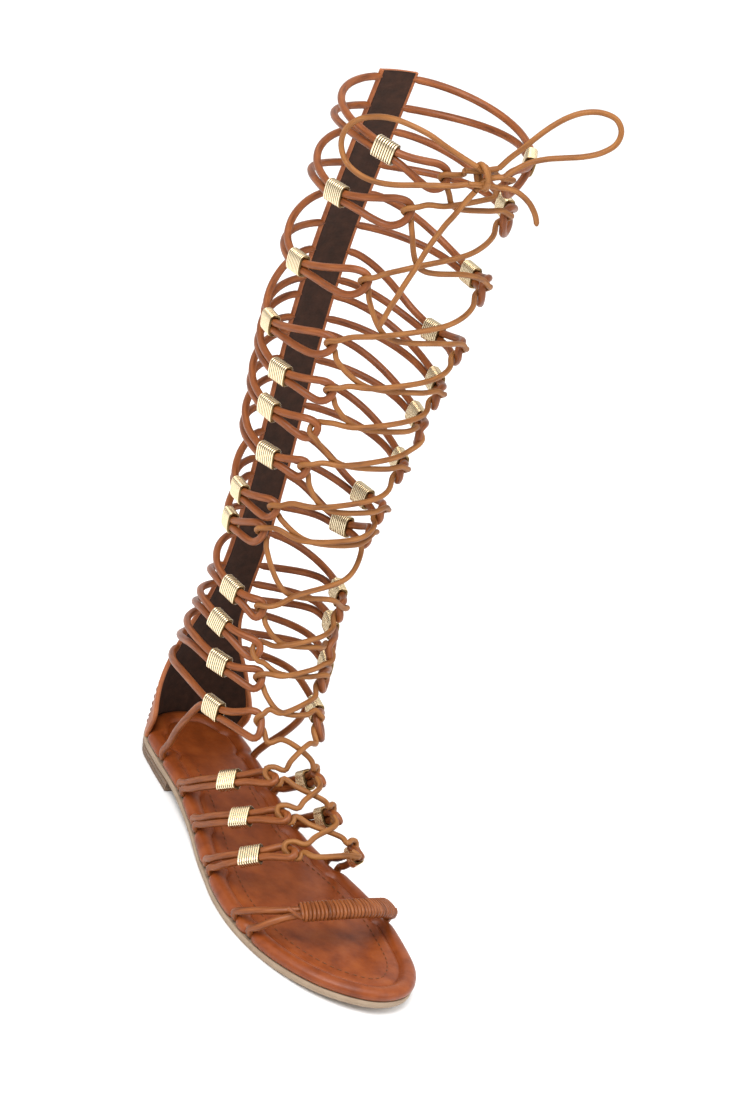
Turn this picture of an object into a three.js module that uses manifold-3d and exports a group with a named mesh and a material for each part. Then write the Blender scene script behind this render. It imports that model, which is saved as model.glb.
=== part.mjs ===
// A knee-high gladiator sandal for the right foot, standing empty on its sole.
// Millimetres. +Z is up, +Y points to the toe, +X is the outer side of the foot.
// The origin is the middle of the heel's underside.
import * as THREE from "three";
import { mergeVertices } from "three/addons/utils/BufferGeometryUtils.js";
import Module from "manifold-3d";

const wasm = await Module();
wasm.setup();

const GAP = 0.3; // between pieces that touch
const STRAND = 3.9; // loop strap cord, diameter
const ROOT = 1.8; // a strand's skived end, tucked into the back strip's edge
const LACE = 2.9; // lace, diameter
const WALL = 2.4; // counter and back strip leather
const TUCK = 0.04; // how far a strand's end reaches behind the strip's edge, in radians
const HEEL_FRONT = 30; // front of the heel lift
const HEEL_LIFT = 6;
const TREAD_FLAT = { from: 98, to: 158 }; // forefoot stretch that touches the floor
const TOE_TIP = 222;
const TOE_SPRING = 5;
const OUTSOLE = 4; // thicknesses
const INSOLE = 6.4;
const FOOT_AXIS = -6; // the foot's ridge lies this far to the inner side
const ANKLE_ROOT = 16; // where the first ankle row's lower strands leave the sole
const TOP = 400; // upper end of the back strip

// The sole's outline from the middle of the heel's back, round the outer side to the toe and back.
const OUTLINE = [
  { x: 0, y: -28 },
  { x: 17, y: -23.5 },
  { x: 27, y: -10 },
  { x: 29.5, y: 8 },
  { x: 30.5, y: 35 },
  { x: 34, y: 68 },
  { x: 40.5, y: 100 },
  { x: 45, y: 128 },
  { x: 44, y: 154 },
  { x: 35.5, y: 183 },
  { x: 19, y: 208 },
  { x: -3, y: 221.5 },
  { x: -22, y: 218 },
  { x: -37, y: 200 },
  { x: -43.5, y: 172 },
  { x: -44, y: 146 },
  { x: -38.5, y: 118 },
  { x: -30, y: 90 },
  { x: -26, y: 60 },
  { x: -27, y: 28 },
  { x: -28, y: 4 },
  { x: -25, y: -13 },
  { x: -14, y: -25 },
];

// Level sections of the leg that the straps lie on: half ovals in front of and behind a middle.
const LEG = [
  { z: 12, middle: 0, halfWidth: 27.4, front: 60, back: 26.6 },
  { z: 40, middle: 4, halfWidth: 30, front: 96, back: 31 },
  { z: 60, middle: 12, halfWidth: 33, front: 88, back: 37.5 },
  { z: 75, middle: 17, halfWidth: 34.5, front: 65, back: 40.5 },
  { z: 90, middle: 20, halfWidth: 35.5, front: 51, back: 40 },
  { z: 105, middle: 21, halfWidth: 35, front: 44.5, back: 39 },
  { z: 125, middle: 21, halfWidth: 33, front: 41, back: 38 },
  { z: 155, middle: 20, halfWidth: 34.5, front: 40, back: 39 },
  { z: 200, middle: 18, halfWidth: 40, front: 44, back: 43 },
  { z: 250, middle: 16, halfWidth: 46.5, front: 50, back: 48 },
  { z: 300, middle: 15.5, halfWidth: 50.5, front: 53.5, back: 50 },
  { z: 350, middle: 17, halfWidth: 50.5, front: 53, back: 49 },
  { z: 405, middle: 19, halfWidth: 49, front: 51, back: 47 },
];

// Half width of the counter, which narrows into the back strip.
const COUNTER = [
  { z: 12, reach: 26.4 },
  { z: 30, reach: 28.2 },
  { z: 45, reach: 25 },
  { z: 58, reach: 19.5 },
  { z: 75, reach: 14 },
  { z: 95, reach: 11 },
  { z: 125, reach: 10 },
  { z: TOP, reach: 10 },
];

// Ankle and shaft rows, from the ankle up. The bead sits at an angle from the leg's front, and
// the loop's tip lies `reach` in front of it and `climb` higher. The two strands start from the
// back strip at the heights `upper` and `lower`; the first row's lower one starts at the sole.
const LEG_ROWS = [
  { bead: 64, z: 66, reach: 35, climb: 10, eye: 5.2, upper: 60, lower: null },
  { bead: 64, z: 90, reach: 26, climb: 5, eye: 4.8, upper: 84, lower: 70 },
  { bead: 75, z: 109, reach: 26.5, climb: -1, eye: 4.6, upper: 102, lower: 92 },
  { bead: 76, z: 128, reach: 21, climb: 1, eye: 4.8, upper: 134, lower: 114 },
  { bead: 104, z: 156, reach: 29, climb: 13, eye: 5.6, upper: 168, lower: 150 },
  { bead: 96, z: 177, reach: 29, climb: 8, eye: 5.2, upper: 192, lower: 177 },
  { bead: 71, z: 209, reach: 23, climb: 6, eye: 4.8, upper: 222, lower: 207 },
  { bead: 79, z: 233, reach: 30.5, climb: 5, eye: 5.4, upper: 247, lower: 232 },
  { bead: 76, z: 255, reach: 31.5, climb: 6.5, eye: 5.6, upper: 268, lower: 255 },
  { bead: 98, z: 272, reach: 45, climb: 14, eye: 6, upper: 294, lower: 277 },
  { bead: 87, z: 312, reach: 42.5, climb: 13, eye: 7.2, upper: 328, lower: 309 },
  { bead: 77.5, z: 357, reach: 41, climb: 11, eye: 7.4, upper: 365, lower: 345 },
  { bead: 58, z: 392, reach: 34, climb: -2, eye: 6.6, upper: 396, lower: 379 },
];

// Foot rows, from the toe back. Each leaves the sole's edge at `entry`, leans forward over a
// foot `rise` high, and carries its bead at an angle up from the sole.
const FOOT_ROWS = [
  { entry: 106, lean: 38, rise: 38, bead: 34, reach: 20, eye: 4.4, spread: 3.8 },
  { entry: 72, lean: 50, rise: 42, bead: 34, reach: 20.5, eye: 4.4, spread: 2.6 },
  { entry: 45, lean: 53, rise: 45.5, bead: 34, reach: 21, eye: 4.4, spread: 2.6 },
];

const TOE_STRAP = {
  front: { outer: 161, inner: 153 }, // where its two strands leave the sole
  back: { outer: 147, inner: 140 },
  lean: 22,
  rise: 21,
  wrap: { from: 55, to: 137, width: 11.4, height: 7 }, // the wrapped stretch, in degrees
};

const BEAD = { length: 12.4, width: 12.2, height: 6.6, taper: 2.7 }; // the hole narrows sideways

// How a strand comes out of the sole: inside the outline, and above the insole's seam.
const ROOT_WAY = [
  { inside: 6, above: 0 },
  { inside: 2.2, above: 0.6 },
  { inside: 0.8, above: 4 },
];
const NOTCH = { margin: 1.5, depth: 14, inside: 8, height: 24 }; // insole's room for a strand

// The insole's rim from its seam up and inwards: inset from the outline, and drop from the top.
const RIM = [
  { inset: 1, drop: INSOLE - GAP },
  { inset: 1, drop: 2.2 },
  { inset: 2.6, drop: 0.3 },
  { inset: 5.5, drop: 0 },
  { inset: 9, drop: 0.8 },
];
const KNOT = { x: 4.5, y: 79, z: 398, width: 15, depth: 11, height: 13 };

// The lace's last place before the knot, beside, behind and above its middle.
const LACE_TO_KNOT = [{ beside: 8.6, behind: 5, above: 0.5 }];
const OVER = 0.9; // a crossing lace's rise or dip

// The routes of the bow's two loops and of the lace's two ends, from the knot.
const OUTER_LOOP = [
  [10.8, 79, 403.6], [19.5, 77, 407], [28.5, 74, 410.5], [36, 69.5, 413.5],
  [43, 63.5, 414.5], [49, 55.5, 413.5], [53.5, 46.5, 409.5], [57, 38, 403],
  [58.5, 32.5, 394], [57.5, 32, 385.5], [54.5, 36.5, 379], [50.5, 44.5, 377],
  [45.5, 53, 378], [39.5, 60.5, 381], [33, 67, 385], [25.5, 72.5, 388.5],
  [18.5, 76.5, 391], [12.1, 79.2, 394],
];
const INNER_LOOP = [
  [-1.7, 79, 403.7], [-5, 80, 410], [-9, 82, 417], [-13.5, 83.5, 424.5],
  [-18.5, 85, 431.5], [-24.5, 87, 438], [-31, 89.5, 442.5], [-38.5, 92.5, 444.5],
  [-45.5, 95.5, 443], [-49, 97.5, 438], [-48.5, 98, 431.5], [-43.5, 96.5, 425.5],
  [-36.5, 93.5, 421], [-28.5, 90.5, 418], [-20.5, 87.5, 415], [-13.5, 85, 411],
  [-8, 83.5, 406], [-3.7, 82.5, 401],
];
const OUTER_END = [
  [7.5, 79.8, 390.6], [9.5, 79.5, 386.5], [11.5, 79, 381.5], [13.5, 78.5, 376],
  [15.5, 77.5, 370.5], [17, 76.5, 364.5], [18.5, 75.5, 358.5], [20, 75, 352],
  [21, 74.5, 346], [22.5, 74, 339.5], [24, 73.5, 333], [25, 73, 327], [26.5, 72.5, 320.5],
  [27.5, 72, 314], [28.5, 71.5, 308],
];
const INNER_END = [
  [-2.9, 81.5, 394.6], [-4.8, 82, 395], [-6.8, 82.5, 395.2], [-8.8, 83, 395.2],
  [-10.8, 83.5, 395], [-12.8, 84, 394.5], [-14.8, 84.5, 393.6], [-16.8, 85, 392.6],
  [-18.8, 85.5, 391.3], [-20.8, 86, 389.8], [-22.6, 86.5, 388], [-24.3, 87, 386],
  [-25.8, 87.4, 383.8], [-27, 87.7, 381.5], [-28, 88, 379],
];

const LEATHER = new THREE.MeshStandardMaterial({ color: 0xa65f30, roughness: 0.55 });
const CORD = new THREE.MeshStandardMaterial({ color: 0xa2552a, roughness: 0.6 });
const LACE_CORD = new THREE.MeshStandardMaterial({ color: 0xbb7a3c, roughness: 0.65 });
const RUBBER = new THREE.MeshStandardMaterial({ color: 0x9c8570, roughness: 0.85 });
const GOLD = new THREE.MeshStandardMaterial({ color: 0xe6d3a3, roughness: 0.25, metalness: 1 });

const { cos, sin, asin, PI, min, max, hypot } = Math;
const radians = (degrees) => (degrees * PI) / 180;
const vector = (x, y, z) => new THREE.Vector3(x, y, z);
const ease = (t) => t * t * (3 - 2 * t);

// ---- Solids ----

// A closed solid through rings of points, ended by caps or, when endless, joined to its start.
function skin(rings, endless = false) {
  const count = rings[0].length;
  const faces = [];
  const steps = endless ? rings.length : rings.length - 1;
  for (let r = 0; r < steps; r++) {
    const here = r * count;
    const next = ((r + 1) % rings.length) * count;
    for (let i = 0; i < count; i++) {
      const j = (i + 1) % count;
      faces.push([here + i, here + j, next + j], [here + i, next + j, next + i]);
    }
  }
  if (!endless) {
    const last = (rings.length - 1) * count;
    for (let i = 1; i <= count / 2; i++) {
      for (const [a, b, c] of [[i - 1, i, count - i], [i - 1, count - i, (count - i + 1) % count]]) {
        if (a === b || b === c || c === a) continue;
        faces.push([c, b, a], [last + a, last + b, last + c]);
      }
    }
  }
  const points = rings.flat();
  const volume = faces.reduce((sum, [a, b, c]) => {
    return sum + points[a].dot(vector(0, 0, 0).crossVectors(points[b], points[c]));
  }, 0);
  const index = volume < 0 ? faces.map(([a, b, c]) => [c, b, a]) : faces;
  const shape = new THREE.BufferGeometry().setFromPoints(points);
  return shape.setIndex(index.flat());
}

// Directions along a path and across it, turning as little as they can.
function frames(path, endless = false) {
  const count = path.length;
  const tangents = path.map((p, i) => {
    const before = endless ? path[(i + count - 1) % count] : path[max(i - 1, 0)];
    const after = endless ? path[(i + 1) % count] : path[min(i + 1, count - 1)];
    return after.clone().sub(before).normalize();
  });
  const start = Math.abs(tangents[0].z) < 0.9 ? vector(0, 0, 1) : vector(0, 1, 0);
  let across = start;
  return tangents.map((tangent) => {
    across = across.clone().addScaledVector(tangent, -tangent.dot(across)).normalize();
    return { tangent, across, beside: vector(0, 0, 0).crossVectors(tangent, across) };
  });
}

// A round cord along a path, with ends of their own diameter.
function cord(path, diameter, sides = 5, endDiameter = diameter) {
  const set = frames(path);
  return skin(
    path.map((p, i) => {
      const radius = (i % (path.length - 1) ? diameter : endDiameter) / 2;
      return Array.from({ length: sides }, (_, k) => {
        const turn = (2 * PI * k) / sides;
        return p
          .clone()
          .addScaledVector(set[i].across, cos(turn) * radius)
          .addScaledVector(set[i].beside, sin(turn) * radius);
      });
    }),
  );
}

function solidOf(geometry) {
  const bare = geometry.clone();
  bare.deleteAttribute("normal");
  bare.deleteAttribute("uv");
  const merged = mergeVertices(bare, 1e-4);
  return new wasm.Manifold(
    new wasm.Mesh({
      numProp: 3,
      vertProperties: merged.attributes.position.array,
      triVerts: new Uint32Array(merged.index.array),
    }),
  );
}

function geometryOf(solid) {
  const mesh = solid.getMesh();
  return new THREE.BufferGeometry()
    .setAttribute("position", new THREE.BufferAttribute(mesh.vertProperties, 3))
    .setIndex(new THREE.BufferAttribute(mesh.triVerts, 1));
}

const joined = (geometries) =>
  geometryOf(geometries.map(solidOf).reduce((whole, piece) => whole.add(piece)));

const carved = (geometry, rooms) =>
  geometryOf(rooms.map(solidOf).reduce((whole, room) => whole.subtract(room), solidOf(geometry)));

// ---- Surfaces that everything lies on ----

// A table's row at a height, blended smoothly between the rows around it.
function rowAt(table, z) {
  const last = table.length - 1;
  const above = table.findIndex((row) => row.z > z);
  const i = above < 0 ? last - 1 : max(above - 1, 0);
  const t = min(max((z - table[i].z) / (table[i + 1].z - table[i].z), 0), 1);
  const row = {};
  for (const key of Object.keys(table[i])) {
    const [a, b, c, d] = [max(i - 1, 0), i, i + 1, min(i + 2, last)].map((k) => table[k][key]);
    row[key] = b + 0.5 * t * (c - a + t * (2 * a - 5 * b + 4 * c - d + t * (3 * (b - c) + d - a)));
  }
  return row;
}

// A point of the leg at an angle from its front: side 1 is the outer side, -1 the inner one.
function legPoint(side, angle, z, lift = 0) {
  const leg = rowAt(LEG, z);
  const depth = cos(angle) > 0 ? leg.front : leg.back;
  return vector(
    side * (leg.halfWidth + lift) * sin(angle),
    leg.middle + (depth + lift) * cos(angle),
    z,
  );
}

// Height of the outsole's underside: heel seat, arch, flat tread and toe spring.
function underside(y) {
  if (y < HEEL_FRONT) return HEEL_LIFT;
  if (y < TREAD_FLAT.from) {
    return HEEL_LIFT * (1 - ease((y - HEEL_FRONT) / (TREAD_FLAT.from - HEEL_FRONT)));
  }
  return TOE_SPRING * (max(y - TREAD_FLAT.to, 0) / (TOE_TIP - TREAD_FLAT.to)) ** 2;
}

const outline = new THREE.CatmullRomCurve3(
  OUTLINE.map(({ x, y }) => vector(x, y, 0)),
  true,
  "centripetal",
).getSpacedPoints(46).slice(0, -1);
const outlineFrames = frames(outline, true);

// The sole's outline drawn in by an inset, at a height above the outsole's underside.
const soleRing = (inset, height) =>
  outline.map((p, i) => {
    const { tangent } = outlineFrames[i];
    const q = vector(p.x - tangent.y * inset, p.y + tangent.x * inset, 0);
    return q.setZ(underside(q.y) + height);
  });

// Where the outline's outer or inner side passes a given y.
function edge(side, y) {
  const half = outline.filter((p) => p.x * side > 0).sort((a, b) => a.y - b.y);
  const k = max(half.findIndex((p) => p.y > y), 1);
  const [a, b] = [half[k - 1], half[k]];
  return a.x + ((b.x - a.x) * (y - a.y)) / (b.y - a.y);
}

// A point over the foot, at an angle up from the sole's edge on one side.
function footPoint(side, row, angle, along, lift = 0) {
  const halfWidth = Math.abs(edge(side, row.entry) - FOOT_AXIS) - 1;
  const y = row.entry + row.lean * sin(angle) - along;
  const base = underside(row.entry) + OUTSOLE + INSOLE - 1;
  return vector(
    FOOT_AXIS + side * (halfWidth + lift) * cos(angle),
    y,
    base + (row.rise + lift) * sin(angle),
  );
}

// The way of a strand from under the insole, out at the sole's edge and up beside it.
function rootPath(side, y) {
  const x = Math.abs(edge(side, y));
  const seam = underside(y) + OUTSOLE + GAP + STRAND / 2;
  return ROOT_WAY.map(({ inside, above }) => vector(side * (x - inside), y, seam + above));
}

// ---- Loop straps ----

// A foot strap leans forward as it climbs, so strands a given distance apart are this many
// times as far apart along y.
function slant(side, row, angle) {
  const halfWidth = Math.abs(edge(side, row.entry) - FOOT_AXIS);
  return hypot(1, (row.lean * cos(angle)) / hypot(halfWidth * sin(angle), row.rise * cos(angle)));
}

// Each row gives a surface for its straps: a point `mm` in front of the bead's middle and
// `off` above the strap's middle line.
function strapSurface(side, row) {
  if (row.entry !== undefined) {
    const ring = hypot(Math.abs(edge(side, row.entry) - FOOT_AXIS), row.rise) / Math.SQRT2;
    return (mm, off, lift) => {
      const angle = radians(row.bead) + mm / ring;
      return footPoint(side, row, angle, off * slant(side, row, angle), lift);
    };
  }
  const leg = rowAt(LEG, row.z);
  const ring = (leg.halfWidth + leg.front) / 2;
  return (mm, off, lift) => {
    const z = row.z + (row.climb * max(mm, 0)) / row.reach + off;
    return legPoint(side, radians(row.bead) - mm / ring, z, lift);
  };
}

const PAIR = STRAND / 2 + 0.15; // from the strap's middle line to each strand
const BEAD_END = BEAD.length / 2 + 0.5;
const SHOULDER = { room: 9, share: 0.62 }; // where a long eye has one more point, and how wide

// The loop's eye, from the bead to the tip on the strand above or below the middle line.
function eyePath(surface, row, up) {
  const centre = row.reach - row.eye;
  const points = [surface(-BEAD_END, up * PAIR), surface(BEAD_END, up * PAIR)];
  if (centre - BEAD_END > SHOULDER.room) {
    const width = PAIR + SHOULDER.share * (row.eye - PAIR);
    points.push(surface((BEAD_END + centre) / 2, up * width));
  }
  for (const turn of [90, 45]) {
    points.push(surface(centre + row.eye * cos(radians(turn)), up * row.eye * sin(radians(turn))));
  }
  return points;
}

// A leg strand from the back strip to its bead.
function backPath(side, row, backZ, up) {
  const leg = rowAt(LEG, row.z);
  const start = radians(row.bead) + (2 * BEAD_END) / (leg.halfWidth + leg.back);
  const back = PI - asin(rowAt(COUNTER, backZ).reach / rowAt(LEG, backZ).halfWidth) + TUCK;
  return [1, 0.62, 0.28].map((t) => {
    const z = row.z + up * PAIR + (backZ - row.z - up * PAIR) * ease(t);
    return legPoint(side, start + (back - start) * t, z);
  });
}

// A foot strand from the sole to its bead.
function edgePath(side, row, up) {
  const angle = radians(row.bead) / 3;
  const halfSpread = ((PAIR + row.spread) / 2) * slant(side, row, angle);
  return [
    ...rootPath(side, row.entry - up * row.spread),
    footPoint(side, row, angle, up * halfSpread),
  ];
}

// The first ankle row's lower strand comes up from the sole beside the heel.
function anklePath(side, row, surface) {
  const root = rootPath(side, ANKLE_ROOT);
  const foot = root[root.length - 1];
  const bead = surface(-BEAD_END, -PAIR);
  const bulge = rowAt(LEG, row.z).halfWidth;
  const ways = [0.3, 0.65].map((t) => foot.clone().lerp(bead, t).setX(side * bulge));
  return [...root, ...ways];
}

function strapPath(side, row) {
  const surface = strapSurface(side, row);
  const halves = [1, -1].map((up) => {
    let way;
    if (row.entry !== undefined) way = edgePath(side, row, up);
    else if (up < 0 && row.lower === null) way = anklePath(side, row, surface);
    else way = backPath(side, row, up > 0 ? row.upper : row.lower, up);
    return [...way, ...eyePath(surface, row, up)];
  });
  return [...halves[0], surface(row.reach, 0), ...halves[1].reverse()];
}

// A bead is an oval sleeve, straight, with room for the two strands.
const BEAD_CORNERS = [[1, 0], [0.62, 1], [-0.62, 1], [-1, 0], [-0.62, -1], [0.62, -1]];
function beadShape(side, row) {
  const surface = strapSurface(side, row);
  const along = surface(BEAD_END, 0).sub(surface(-BEAD_END, 0)).normalize();
  const up = surface(0, 1).sub(surface(0, -1));
  up.addScaledVector(along, -up.dot(along)).normalize();
  const out = vector(0, 0, 0).crossVectors(along, up);
  const middle = surface(BEAD_END, 0).add(surface(-BEAD_END, 0)).multiplyScalar(0.5);
  const ring = (mm, width, height) =>
    BEAD_CORNERS.map(([u, n]) =>
      middle
        .clone()
        .addScaledVector(along, mm)
        .addScaledVector(up, (u * width) / 2)
        .addScaledVector(out, (n * height) / 2),
    );
  const half = BEAD.length / 2;
  const [width, height] = [2 * PAIR + STRAND + BEAD.taper, STRAND + 2 * GAP];
  return skin(
    [
      ring(-half, BEAD.width, BEAD.height),
      ring(half, BEAD.width, BEAD.height),
      ring(half, width, height),
      ring(-half, width, height),
    ],
    true,
  );
}

// ---- Counter and back strip ----

// A wall along the leg's back, as wide as the counter's table says, from `inward` to `outward`
// of the leg's surface.
function backWall(inward, outward, heights) {
  const turns = [-1, -0.67, -0.33, 0, 0.33, 0.67, 1];
  return skin(
    heights.map((z) => {
      const spread = asin(rowAt(COUNTER, z).reach / rowAt(LEG, z).halfWidth);
      const row = (lift) => turns.map((t) => legPoint(1, PI + spread * t, z, lift));
      return [...row(outward), ...row(inward).reverse()];
    }),
  );
}
const COUNTER_FOOT = HEEL_LIFT + OUTSOLE + GAP;
const WALL_HEIGHTS = [
  COUNTER_FOOT, 24, 36, 48, 60, 74, 90, 110, 150, 200, 250, 300, 350, TOP,
];

// ---- Lace ----

const ROWS = [...FOOT_ROWS, ...LEG_ROWS];
const HITCH = (STRAND + LACE) / 2 + 1.8; // from a loop's tip to the lace that turns beside it

// A row's middle, at the front of the leg or the top of the foot.
function crest(row, lift) {
  if (row.entry !== undefined) return footPoint(1, row, PI / 2, 0, lift);
  return legPoint(1, 0, row.z + row.climb, lift);
}

// One of the two crossing laces: it starts on a side, turns at a loop's tip in each row and
// changes sides between rows, where one of the two lies over the other.
function lacePath(firstSide) {
  const path = [];
  const over = OVER * firstSide;
  ROWS.forEach((row, k) => {
    const side = firstSide * (k % 2 ? -1 : 1);
    const before = ROWS[max(k - 1, 0)];
    const below = crest(row, over).add(crest(before, over)).multiplyScalar(0.5);
    const turn = strapSurface(side, row)(row.reach + HITCH, 0, 0);
    if (k) path.push(below, turn);
    else if (side < 0) path.push(turn);
    else path.push(strapSurface(-side, row)(row.reach + HITCH, 0, 0), below, turn);
  });
  const side = Math.sign(path[path.length - 1].x);
  for (const { beside, behind, above } of LACE_TO_KNOT) {
    path.push(vector(KNOT.x + side * beside, KNOT.y - behind, KNOT.z + above));
  }
  return path;
}

// ---- The sandal ----

const sandal = new THREE.Group();
sandal.name = "gladiator_sandal";

function piece(name, geometry, material) {
  const mesh = new THREE.Mesh(geometry, material);
  mesh.name = name;
  sandal.add(mesh);
}

function addSole() {
  const heelPoints = outline.map((p, i) => i).filter((i) => outline[i].y < HEEL_FRONT);
  const split = heelPoints.findIndex((i, k) => k && i !== heelPoints[k - 1] + 1);
  const around = [...heelPoints.slice(split), ...heelPoints.slice(0, split)];
  const heelRing = (inset, z) => around.map((i) => soleRing(inset, 0)[i].setZ(z));
  piece("heel", skin([heelRing(1.8, 0), heelRing(0.6, HEEL_LIFT - GAP)]), RUBBER);
  piece(
    "outsole",
    skin([soleRing(1, 0), soleRing(0, 1), soleRing(0, OUTSOLE)]),
    RUBBER,
  );
  const bed = skin(RIM.map(({ inset, drop }) => soleRing(inset, OUTSOLE + INSOLE - drop)));
  const rooms = [backWall(-WALL / 2 - GAP, WALL / 2 + 6, [5, COUNTER_FOOT, 24, 36])];
  for (const side of [1, -1]) {
    const toe = (pair) => (side > 0 ? pair.outer : pair.inner);
    for (const row of FOOT_ROWS) rooms.push(rootRoom(side, row.entry, row.spread));
    rooms.push(rootRoom(side, ANKLE_ROOT, 0));
    rooms.push(rootRoom(side, toe(TOE_STRAP.front), 0), rootRoom(side, toe(TOE_STRAP.back), 0));
  }
  piece("insole", carved(bed, rooms), LEATHER);
}

// The notch in the insole's edge for one strand, or for two `spread` to either side.
function rootRoom(side, y, spread) {
  const { margin, depth, inside, height } = NOTCH;
  const width = 2 * (spread + STRAND / 2 + margin);
  return new THREE.BoxGeometry(depth, width, height).translate(
    edge(side, y) + side * (depth / 2 - inside),
    y,
    underside(y) + OUTSOLE + height / 2,
  );
}

function addUpper() {
  const parts = [backWall(-WALL / 2, WALL / 2, WALL_HEIGHTS)];
  for (const row of LEG_ROWS) {
    for (const side of [1, -1]) parts.push(cord(strapPath(side, row), STRAND, 5, ROOT));
  }
  piece("upper", joined(parts), LEATHER);
}

function addFootStraps() {
  FOOT_ROWS.forEach((row, k) => {
    for (const side of [1, -1]) {
      const name = `foot_loop_${k + 1}_${side > 0 ? "outer" : "inner"}`;
      piece(name, cord(strapPath(side, row), STRAND), CORD);
    }
  });
}

// Both strands of the toe strap and the wrapped stretch over them.
function addToeStrap() {
  const { front, back, lean, rise, wrap } = TOE_STRAP;
  const side = (angle) => (angle < PI / 2 ? 1 : -1);
  const mix = (pair, angle) => pair.outer + ((pair.inner - pair.outer) * angle) / PI;
  const strandPoint = (pair, angle, up) => {
    const middle = (mix(front, angle) + mix(back, angle)) / 2;
    const apart = min(Math.abs(angle - radians(wrap.from)), Math.abs(angle - radians(wrap.to)));
    const wrapped = angle > radians(wrap.from) && angle < radians(wrap.to);
    const share = wrapped ? 0 : ease(min(apart / radians(wrap.from - 8), 1));
    const y = middle - up * PAIR + (mix(pair, angle) - (middle - up * PAIR)) * share;
    const row = { entry: y, lean, rise };
    const near = side(angle) > 0 ? angle : PI - angle;
    return footPoint(side(angle), row, near, 0);
  };
  const strand = (pair, up) => {
    const angles = [17, 36, 55, 75, 96, 117, 137, 158].map(radians);
    return cord(
      [
        ...rootPath(1, pair.outer),
        ...angles.map((angle) => strandPoint(pair, angle, up)),
        ...rootPath(-1, pair.inner).reverse(),
      ],
      STRAND,
    );
  };
  const middles = [55, 75, 96, 117, 137].map(radians);
  const spine = middles.map((angle) =>
    strandPoint(front, angle, -1).add(strandPoint(back, angle, 1)).multiplyScalar(0.5),
  );
  const set = frames(spine);
  const sleeve = skin(
    spine.map((p, i) =>
      Array.from({ length: 8 }, (_, k) => {
        const turn = radians(22.5 + 45 * k);
        const wide = vector(0, 1, 0).addScaledVector(set[i].tangent, -set[i].tangent.y).normalize();
        const high = vector(0, 0, 0).crossVectors(set[i].tangent, wide);
        return p
          .clone()
          .addScaledVector(wide, (wrap.width / 2) * 1.06 * cos(turn))
          .addScaledVector(high, (wrap.height / 2) * 1.06 * sin(turn));
      }),
    ),
  );
  piece("toe_strap", joined([strand(front, -1), strand(back, 1), sleeve]), CORD);
}

function addBeads() {
  ROWS.forEach((row, k) => {
    for (const side of [1, -1]) {
      const name = `bead_${String(k + 1).padStart(2, "0")}_${side > 0 ? "outer" : "inner"}`;
      piece(name, beadShape(side, row), GOLD);
    }
  });
}

function addLace() {
  piece("lace", joined([cord(lacePath(1), LACE), cord(lacePath(-1), LACE)]), LACE_CORD);
  const knot = new THREE.SphereGeometry(0.5, 10, 8)
    .scale(KNOT.width, KNOT.depth, KNOT.height)
    .translate(KNOT.x, KNOT.y, KNOT.z);
  piece("lace_knot", geometryOf(solidOf(knot)), LACE_CORD);
  const routes = {
    lace_bow_outer: OUTER_LOOP,
    lace_bow_inner: INNER_LOOP,
    lace_end_outer: OUTER_END,
    lace_end_inner: INNER_END,
  };
  for (const [name, route] of Object.entries(routes)) {
    piece(name, cord(route.map((p) => vector(...p)), LACE, 8), LACE_CORD);
  }
}

addSole();
addUpper();
addFootStraps();
addToeStrap();
addBeads();
addLace();

export default sandal;
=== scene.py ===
from collections import namedtuple
from math import asin, cos, pi, radians, sin, tau

import bmesh
import bpy
import numpy as np
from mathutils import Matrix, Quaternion, Vector


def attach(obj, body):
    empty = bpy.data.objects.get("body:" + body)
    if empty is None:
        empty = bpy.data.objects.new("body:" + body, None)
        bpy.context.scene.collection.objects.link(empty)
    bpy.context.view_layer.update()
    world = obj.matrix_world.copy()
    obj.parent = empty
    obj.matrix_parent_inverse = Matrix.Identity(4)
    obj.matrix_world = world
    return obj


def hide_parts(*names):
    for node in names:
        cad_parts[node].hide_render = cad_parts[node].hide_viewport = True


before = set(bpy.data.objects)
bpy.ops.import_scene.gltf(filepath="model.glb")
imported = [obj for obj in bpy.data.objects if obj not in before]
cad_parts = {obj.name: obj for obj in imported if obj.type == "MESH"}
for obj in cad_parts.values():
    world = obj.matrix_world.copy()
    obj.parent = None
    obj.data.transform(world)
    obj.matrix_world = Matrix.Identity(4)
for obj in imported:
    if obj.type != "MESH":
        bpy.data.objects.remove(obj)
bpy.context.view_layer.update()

# A knee-high gladiator sandal for the right foot. Lengths here are in millimetres: the origin is
# the middle of the heel's underside, +Y the toe, +X the outer side of the foot, +Z up.

MM = 0.001
SIDES = (1, -1)  # outer, inner
SIDE_NAMES = {1: "outer", -1: "inner"}


# ---- Sizes shared with the solid model ----

GAP = 0.3
STRAND = 3.9
LACE = 2.9
WALL = 2.4
TUCK = 0.04
HEEL_FRONT = 30
HEEL_LIFT = 6
TREAD_FLAT = (98, 158)
TOE_TIP = 222
TOE_SPRING = 5
OUTSOLE = 4
INSOLE = 6.4
FOOT_AXIS = -6
ANKLE_ROOT = 16
TOP = 400
PAIR = STRAND / 2 + 0.15
BEAD_END = 6.7
BEAD_LONG, BEAD_WIDE, BEAD_HIGH = 12.4, 11.4, 6.4
ROOT_WAY = ((6, 0), (2.2, 0.6), (0.8, 4))  # inside the edge, above the seam
COUNTER_FOOT = HEEL_LIFT + OUTSOLE + GAP

OUTLINE = np.array([
    (0, -28), (17, -23.5), (27, -10), (29.5, 8), (30.5, 35), (34, 68), (40.5, 100), (45, 128),
    (44, 154), (35.5, 183), (19, 208), (-3, 221.5), (-22, 218), (-37, 200), (-43.5, 172),
    (-44, 146), (-38.5, 118), (-30, 90), (-26, 60), (-27, 28), (-28, 4), (-25, -13), (-14, -25),
], float)

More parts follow.
